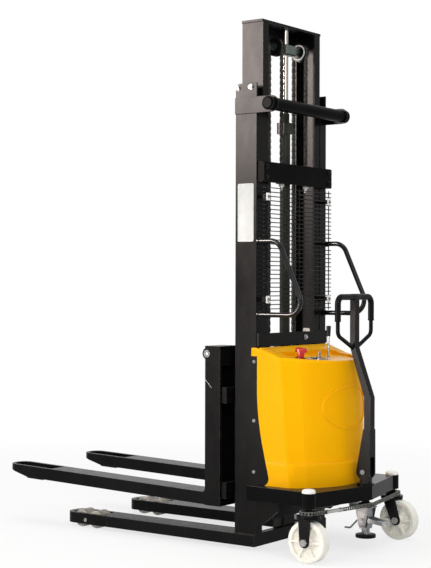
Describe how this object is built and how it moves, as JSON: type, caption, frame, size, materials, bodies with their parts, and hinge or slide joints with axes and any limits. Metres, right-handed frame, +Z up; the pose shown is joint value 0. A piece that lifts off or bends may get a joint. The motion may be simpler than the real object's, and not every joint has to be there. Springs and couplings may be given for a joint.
{
  "type": "semi-electric stacker",
  "caption": "Pedestrian stacker: two-stage chain mast with adjustable forks on straddled legs, moulded power hood, steering tiller with casters and a floor lock.",
  "frame": {"origin": "on the floor, at the middle of the overall box in plan, between the fork tips and the lock pedal", "axes": "+Z up, +Y towards the operator, so the forks point along -Y, and +X to the truck's left"},
  "size_m": [0.732, 1.7338, 2.09],
  "materials": {
    "black_paint": "satin powder coat",
    "yellow_plastic": "moulded, low gloss",
    "bright_steel": "machined",
    "chain_steel": "oiled",
    "chrome_rod": "polished",
    "zinc": "zinc plated",
    "black_rubber": "matt",
    "nylon": "cream nylon",
    "red_plastic": "gloss",
    "grey_plastic": "satin",
    "black_plastic": "satin"
  },
  "bodies": {
    "chassis": {"base_frame": "black_paint", "outer_mast": "black_paint", "cross_plate": "black_paint", "chain_anchors": "bright_steel", "guard_mesh": "black_paint", "left_handrail": "black_paint", "right_handrail": "black_paint", "push_bar": "black_rubber", "push_bar_straps": "black_paint", "lift_cylinder": "black_paint", "platform": "black_paint", "caster_caps": "nylon", "steering_chain": "chain_steel", "turnbuckle": "bright_steel", "hood": "yellow_plastic", "control_panel": "grey_plastic", "estop_collar": "black_plastic", "battery": "black_plastic", "power_unit": "black_paint", "mast_fasteners": "bright_steel", "breather_cap": "nylon", "rear_chains": "chain_steel", "floor_lock_body": "zinc"},
    "inner_mast": {"inner_mast": "black_paint", "piston_rod": "chrome_rod", "pulley_yoke": "bright_steel", "front_chains": "chain_steel", "chain_wraps": "chain_steel"},
    "left_pulley": {"left_pulley": "bright_steel"},
    "right_pulley": {"right_pulley": "bright_steel"},
    "inner_mast_rollers": {"inner_mast_rollers": "bright_steel"},
    "carriage": {"carriage_frame": "black_paint", "fork_shaft": "bright_steel"},
    "carriage_lower_rollers": {"carriage_lower_rollers": "bright_steel"},
    "carriage_upper_rollers": {"carriage_upper_rollers": "bright_steel"},
    "left_fork": {"left_fork": "black_paint"},
    "right_fork": {"right_fork": "black_paint"},
    "tiller_base": {"tiller_base": "black_paint", "tiller_pin": "bright_steel"},
    "tiller": {"tiller_arm": "black_paint", "tiller_grips": "black_rubber"},
    "left_caster": {"left_caster_fork": "black_paint", "left_caster_axle": "bright_steel"},
    "left_caster_wheel": {"left_caster_wheel": "nylon"},
    "right_caster": {"right_caster_fork": "black_paint", "right_caster_axle": "bright_steel"},
    "right_caster_wheel": {"right_caster_wheel": "nylon"},
    "left_bogie": {"left_bogie": "black_paint"},
    "left_front_load_roller": {"left_front_load_roller": "nylon"},
    "left_rear_load_roller": {"left_rear_load_roller": "nylon"},
    "right_bogie": {"right_bogie": "black_paint"},
    "right_front_load_roller": {"right_front_load_roller": "nylon"},
    "right_rear_load_roller": {"right_rear_load_roller": "nylon"},
    "estop_button": {"estop_button": "red_plastic"},
    "key_switch": {"key_switch": "bright_steel"},
    "lift_lever": {"lift_lever": "bright_steel", "lever_knob": "black_plastic"},
    "floor_lock_foot": {"floor_lock_foot": "zinc"},
    "floor_lock_pedal": {"floor_lock_pedal": "zinc"},
    "floor_lock_release": {"floor_lock_release": "black_paint"}
  },
  "joints": [
    {"name": "mast_lift", "type": "slide", "parent": "chassis", "child": "inner_mast", "axis": [0, 0, 1], "range_m": [-0.047, 1.4], "deforming": ["rear_chains"]},
    {"name": "carriage_lift", "type": "slide", "parent": "inner_mast", "child": "carriage", "axis": [0, 0, 1], "range_m": [-0.047, 1.4], "deforming": ["front_chains"]},
    {"name": "left_pulley_turn", "type": "hinge", "parent": "inner_mast", "child": "left_pulley", "pos_m": [0.09, 0.41088, 1.996], "axis": [1, 0, 0], "range_deg": [-2676, 91]},
    {"name": "right_pulley_turn", "type": "hinge", "parent": "inner_mast", "child": "right_pulley", "pos_m": [-0.09, 0.41088, 1.996], "axis": [1, 0, 0], "range_deg": [-2676, 91]},
    {"name": "inner_mast_rollers_turn", "type": "hinge", "parent": "inner_mast", "child": "inner_mast_rollers", "pos_m": [0, 0.38288, 0.176], "axis": [1, 0, 0], "continuous": true},
    {"name": "carriage_lower_rollers_turn", "type": "hinge", "parent": "carriage", "child": "carriage_lower_rollers", "pos_m": [0, 0.38288, 0.295], "axis": [1, 0, 0], "continuous": true},
    {"name": "carriage_upper_rollers_turn", "type": "hinge", "parent": "carriage", "child": "carriage_upper_rollers", "pos_m": [0, 0.38288, 0.555], "axis": [1, 0, 0], "continuous": true},
    {"name": "left_fork_shift", "type": "slide", "parent": "carriage", "child": "left_fork", "axis": [1, 0, 0], "range_m": [-0.078, 0]},
    {"name": "right_fork_shift", "type": "slide", "parent": "carriage", "child": "right_fork", "axis": [-1, 0, 0], "range_m": [-0.078, 0]},
    {"name": "tiller_steer", "type": "hinge", "parent": "chassis", "child": "tiller_base", "pos_m": [0, 0.77988, 0.262], "axis": [0, 0, 1], "range_deg": [-60, 60]},
    {"name": "tiller_tilt", "type": "hinge", "parent": "tiller_base", "child": "tiller", "pos_m": [0, 0.77988, 0.313], "axis": [-1, 0, 0], "range_deg": [0, 70], "stiffness_Nm_per_rad": 25, "springref_deg": -11.46},
    {"name": "left_caster_swivel", "type": "hinge", "parent": "chassis", "child": "left_caster", "pos_m": [0.32, 0.71888, 0.262], "axis": [0, 0, 1], "range_deg": [-60, 60]},
    {"name": "left_caster_wheel_turn", "type": "hinge", "parent": "left_caster", "child": "left_caster_wheel", "pos_m": [0.32, 0.71888, 0.08], "axis": [1, 0, 0], "continuous": true},
    {"name": "right_caster_swivel", "type": "hinge", "parent": "chassis", "child": "right_caster", "pos_m": [-0.32, 0.71888, 0.262], "axis": [0, 0, 1], "range_deg": [-60, 60]},
    {"name": "right_caster_wheel_turn", "type": "hinge", "parent": "right_caster", "child": "right_caster_wheel", "pos_m": [-0.32, 0.75288, 0.08], "axis": [1, 0, 0], "continuous": true},
    {"name": "left_bogie_rock", "type": "hinge", "parent": "chassis", "child": "left_bogie", "pos_m": [0.2095, -0.44312, 0.037], "axis": [1, 0, 0], "range_deg": [-4, 4]},
    {"name": "left_front_load_roller_turn", "type": "hinge", "parent": "left_bogie", "child": "left_front_load_roller", "pos_m": [0.2095, -0.48312, 0.037], "axis": [1, 0, 0], "continuous": true},
    {"name": "left_rear_load_roller_turn", "type": "hinge", "parent": "left_bogie", "child": "left_rear_load_roller", "pos_m": [0.2095, -0.40312, 0.037], "axis": [1, 0, 0], "continuous": true},
    {"name": "right_bogie_rock", "type": "hinge", "parent": "chassis", "child": "right_bogie", "pos_m": [-0.2095, -0.44312, 0.037], "axis": [1, 0, 0], "range_deg": [-4, 4]},
    {"name": "right_front_load_roller_turn", "type": "hinge", "parent": "right_bogie", "child": "right_front_load_roller", "pos_m": [-0.2095, -0.48312, 0.037], "axis": [1, 0, 0], "continuous": true},
    {"name": "right_rear_load_roller_turn", "type": "hinge", "parent": "right_bogie", "child": "right_rear_load_roller", "pos_m": [-0.2095, -0.40312, 0.037], "axis": [1, 0, 0], "continuous": true},
    {"name": "estop_press", "type": "slide", "parent": "chassis", "child": "estop_button", "axis": [0, -0.1013, -0.9949], "range_m": [0, 0.005], "stiffness_N_per_m": 400, "springref_m": -0.005},
    {"name": "key_turn", "type": "hinge", "parent": "chassis", "child": "key_switch", "pos_m": [0.036, 0.58688, 0.75007], "axis": [0, 0.1013, 0.9949], "range_deg": [0, 90]},
    {"name": "lift_lever_tilt", "type": "hinge", "parent": "chassis", "child": "lift_lever", "pos_m": [-0.002, 0.60688, 0.74628], "axis": [0, 1, 0], "range_deg": [-12, 12], "stiffness_Nm_per_rad": 2},
    {"name": "floor_lock_foot_drop", "type": "slide", "parent": "chassis", "child": "floor_lock_foot", "axis": [0, 0, -1], "range_m": [0, 0.0555], "stiffness_N_per_m": 300, "springref_m": -0.06},
    {"name": "floor_lock_pedal_press", "type": "hinge", "parent": "chassis", "child": "floor_lock_pedal", "pos_m": [0, 0.77988, 0.132], "axis": [-1, 0, 0], "range_deg": [0, 25]},
    {"name": "floor_lock_release_press", "type": "hinge", "parent": "chassis", "child": "floor_lock_release", "pos_m": [-0.0238, 0.76988, 0.158], "axis": [1, 0, 0], "range_deg": [0, 20], "stiffness_Nm_per_rad": 0.6, "springref_deg": -17.19}
  ],
  "couplings": [
    {"joint": "carriage_lift", "follows": "mast_lift", "ratio": 1},
    {"joint": "left_pulley_turn", "follows": "mast_lift", "rad_per_m": -33.333},
    {"joint": "right_pulley_turn", "follows": "mast_lift", "rad_per_m": -33.333},
    {"joint": "left_caster_swivel", "follows": "tiller_steer", "ratio": 1},
    {"joint": "right_caster_swivel", "follows": "tiller_steer", "ratio": 1},
    {"joint": "floor_lock_pedal_press", "follows": "floor_lock_foot_drop", "rad_per_m": 7.8}
  ]
}
